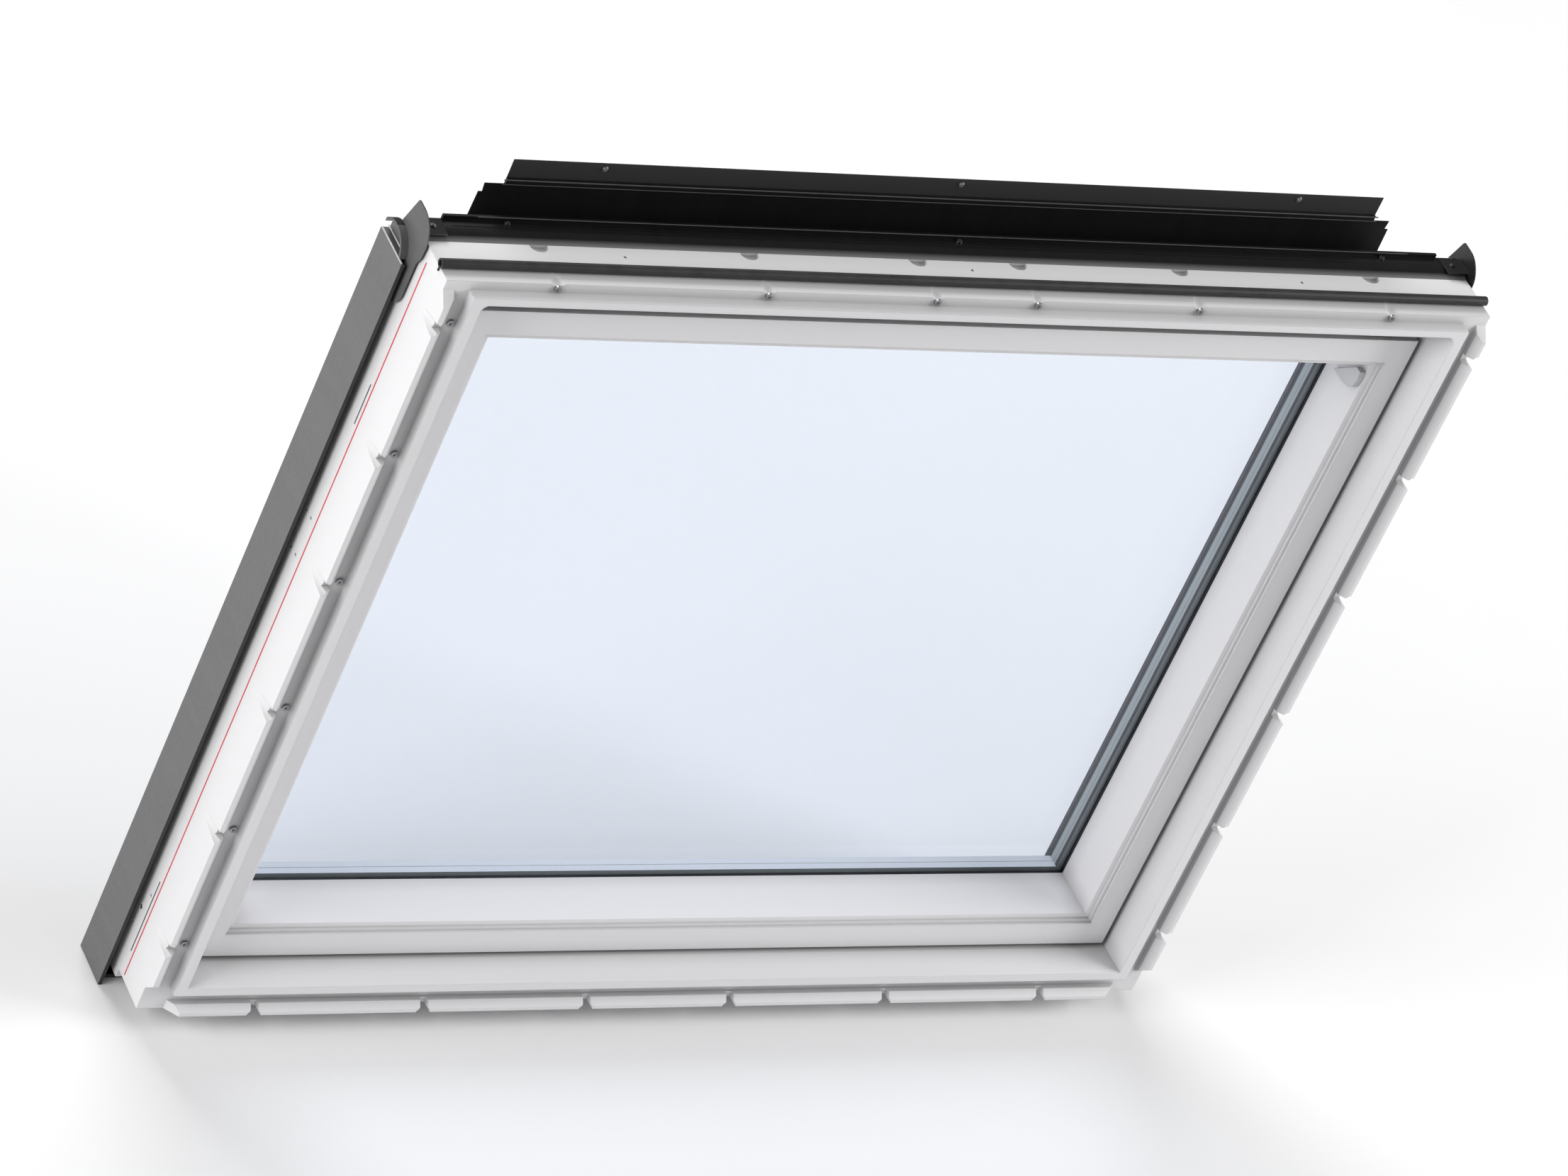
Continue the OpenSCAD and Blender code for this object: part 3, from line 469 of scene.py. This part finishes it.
def alongHead(fold, y):
    reach = jambX - fold["inset"]
    return [(x, y, headZ + fold["height"]) for x in (-reach, 0, reach)]


def frontOf(sheet, seen):
    # the room-side surface of a sheet between two heights above the head
    low, high = seen
    return min(v.y for v in spotsOf(sheet) if headZ + low <= v.z <= headZ + high)


addPiece("gutterCrease",
         *sweep(ridgeOutline(gutterCrease["width"], gutterCrease["rise"], foldTop),
                alongHead(gutterCrease, fromRoom(gutterCrease["depth"])), (0, 1, 0), (0, 0, 1)),
         blackSheet, "black_sheet")
for name, fold in frontFolds.items():
    addPiece(name,
             *sweep(ridgeOutline(fold["width"], fold["rise"], foldTop),
                    alongHead(fold, frontOf(fold["sheet"], fold["seen"])), (0, 0, 1), (0, -1, 0)),
             foldHighlightSheet, "black_sheet")
print("folds pressed")


# black seal lines where the spacer bar meets the two panes
sealLine = {"roomWidth": 0.0036, "skyWidth": 0.00144, "stand": 0.0002, "edgeGap": 0.001}


def addSealLine(name, y0, y1, inner):
    # a thin square ring, half sunk in the spacer bar's inner faces
    innerX, innerFoot, innerHead = inner
    verts = []
    for inset in (-sealLine["stand"], sealLine["stand"]):
        for y in (y0, y1):
            for sideX, atHead in ((-1, False), (1, False), (1, True), (-1, True)):
                verts.append((sideX * (innerX - inset), y, innerHead - inset if atHead else innerFoot + inset))
    faces = []
    for i in range(4):
        j = (i + 1) % 4
        faces += [(i, j, 4 + j, 4 + i), (8 + i, 12 + i, 12 + j, 8 + j),
                  (i, 8 + i, 8 + j, j), (4 + i, 4 + j, 12 + j, 12 + i)]
    addPiece(name, verts, faces, sealRubber, "sealant")


spacerSpots = spotsOf("spacer_bar")
spacerInner = (min(abs(v.x) for v in spacerSpots),
               min(v.z for v in spacerSpots if v.z > spacerLow[2] + sealLine["edgeGap"]),
               max(v.z for v in spacerSpots if v.z < spacerHigh[2] - sealLine["edgeGap"]))
addSealLine("roomSealLine", spacerLow[1], spacerLow[1] + sealLine["roomWidth"], spacerInner)
addSealLine("skySealLine", spacerHigh[1] - sealLine["skyWidth"], spacerHigh[1], spacerInner)
print("seal lines laid")


# painted highlights: bright arrises where the left cover's head steps in to the collar, as light grey beads on the
# grey sheet
foldSteps = 12
headFold = {"outer": {"x": -0.5809, "height": 0.8872, "from": 0.0725, "to": 0.1245, "radius": 0.0010},
            "inner": {"x": -0.5752, "height": 0.8896, "from": 0.0850, "to": 0.1240, "radius": 0.0008}}
for name, fold in headFold.items():
    points = [(fold["x"], fromRoom(y), baseZ + fold["height"]) for y in (fold["from"], fold["to"])]
    addPiece("leftHeadFold." + name, *sweep(ringOutline(fold["radius"], foldSteps), points, (1, 0, 0), (0, 0, 1)),
             arrisHighlightSheet, "grey_sheet", smooth=True)

# painted shadow: a dark strip for the narrow slit beside them
slit = {"height": 0.8765, "from": 0.1190, "to": 0.1252, "width": 0.0009, "tilt": 0.0016, "sink": 0.00008,
        "stand": 0.00005}
slitOutline = [(-slit["width"] / 2, 0), (slit["width"] / 2, 0), (0, slit["stand"])]
points = [(coverLow[0] + slit["sink"], fromRoom(slit["from"]), baseZ + slit["height"]),
          (coverLow[0] + slit["sink"], fromRoom(slit["to"]), baseZ + slit["height"] + slit["tilt"])]
addPiece("leftCoverSlit", *sweep(slitOutline, points, (0, 0, 1), (-1, 0, 0)), paintedGapShadow, "grey_sheet")
print("head folds laid")


# painted shadow: dark pieces on the floors of the narrow slots and of the small four-sided recess in each jamb
slotShadowStrip = {"depth": 0.059, "width": 0.0017, "sink": 0.0003, "thick": 0.002,
             "runs": ((0.0319, 0.1243), (0.7083, 0.7557))}
recessShadowKite = {"depth": 0.0725, "height": 0.0783, "reach": 0.0027, "sinks": (0.0019, 0.0006)}
for sideName, side in sides:
    half = slotShadowStrip["width"] / 2
    shadowOutline = [(-half, -slotShadowStrip["thick"]), (half, -slotShadowStrip["thick"]), (half, 0), (-half, 0)]
    for order, run in enumerate(slotShadowStrip["runs"]):
        points = [(side * (jambX - slotShadowStrip["sink"]), fromRoom(slotShadowStrip["depth"]), baseZ + z) for z in run]
        addPiece(f"{sideName}SlotShadow.{order + 1}", *sweep(shadowOutline, points, (0, 1, 0), (side, 0, 0)),
                 paintedGapShadow, "white_moulding")
    reach = recessShadowKite["reach"]
    kite = [(-reach, 0), (0, -reach), (reach, 0), (0, reach)]
    points = [(side * (jambX - sink), fromRoom(recessShadowKite["depth"]), baseZ + recessShadowKite["height"])
              for sink in recessShadowKite["sinks"]]
    addPiece(sideName + "RecessShadow", *sweep(kite, points, (0, 1, 0), (0, 0, 1)), paintedGapShadow, "white_moulding")
print("slot floors laid")


# pale paper floor, large enough for every view
studio = {"floor": (0.88, 0.88, 0.885), "fibreSize": 3.0, "fibreShade": 0.99, "roughness": 0.9,
          "specular": 0.1, "size": 60.0, "drop": 0.0005,
          "world": (1.0, 1.0, 1.0), "worldStrength": 0.17}


def makeFloor():
    half = studio["size"] / 2
    mesh = bpy.data.meshes.new("studioFloor")
    mesh.from_pydata([(-half, -half, 0), (half, -half, 0), (half, half, 0), (-half, half, 0)], [], [(0, 1, 2, 3)])
    floor = bpy.data.objects.new("studioFloor", mesh)
    bpy.context.scene.collection.objects.link(floor)
    floor.location = (0, 0, -studio["drop"])
    finish, tree, out = newFinish("floorPaper")
    shader = tree.nodes.new("ShaderNodeBsdfPrincipled")
    fibre = noiseField(tree, objectCoords(tree), studio["fibreSize"])
    paper = {"color": studio["floor"], "shade": tuple(c * studio["fibreShade"] for c in studio["floor"])}
    link(tree, mottled(tree, fibre, paper), shader.inputs["Base Color"])
    shader.inputs["Roughness"].default_value = studio["roughness"]
    shader.inputs["Specular IOR Level"].default_value = studio["specular"]
    link(tree, shader.outputs["BSDF"], out.inputs["Surface"])
    mesh.materials.append(finish)


makeFloor()

bpy.context.scene.view_settings.view_transform = "Standard"
world = bpy.data.worlds.new("studioWorld")
bpy.context.scene.world = world
world.use_nodes = True
sky = world.node_tree.nodes["Background"]
sky.inputs["Color"].default_value = (*studio["world"], 1)
sky.inputs["Strength"].default_value = studio["worldStrength"]

softBoxes = {
    "leftBox": {"place": (-4.4, -1.0, 2.4), "size": (2.6, 2.6), "power": 147, "aim": (0, 0, 0.48)},
    "backBox": {"place": (-0.4, 4.5, 4.0), "size": (4.0, 3.0), "power": 228, "aim": (0.5, 0.9, 0)},
    "rightBox": {"place": (4.6, -1.6, 2.6), "size": (2.6, 2.6), "power": 216, "aim": (0, 0, 0.48)},
}


def turnTo(place, aim):
    return (Vector(aim) - Vector(place)).to_track_quat("-Z", "Y")


for name, box in softBoxes.items():
    light = bpy.data.lights.new(name, "AREA")
    light.shape = "RECTANGLE"
    light.size, light.size_y = box["size"]
    light.energy = box["power"]
    lamp = bpy.data.objects.new(name, light)
    bpy.context.scene.collection.objects.link(lamp)
    lamp.location = box["place"]
    lamp.rotation_euler = turnTo(box["place"], box["aim"]).to_euler()
print("studio lit")

eye = {"place": (-3.788, -4.728, 4.819), "aim": (-0.0094, 0.0303, 0.508), "roll": 25.4, "lens": 176.8,
       "sensor": 36.0, "farthest": 200}
lens = bpy.data.cameras.new("studioCamera")
lens.sensor_width = eye["sensor"]
lens.sensor_fit = "HORIZONTAL"
lens.lens = eye["lens"]
lens.clip_end = eye["farthest"]
camera = bpy.data.objects.new("studioCamera", lens)
bpy.context.scene.collection.objects.link(camera)
gaze = turnTo(eye["place"], eye["aim"]).to_matrix().to_4x4()
camera.matrix_world = Matrix.Translation(eye["place"]) @ gaze @ Matrix.Rotation(math.radians(eye["roll"]), 4, "Z")
bpy.context.scene.camera = camera
print("camera set")
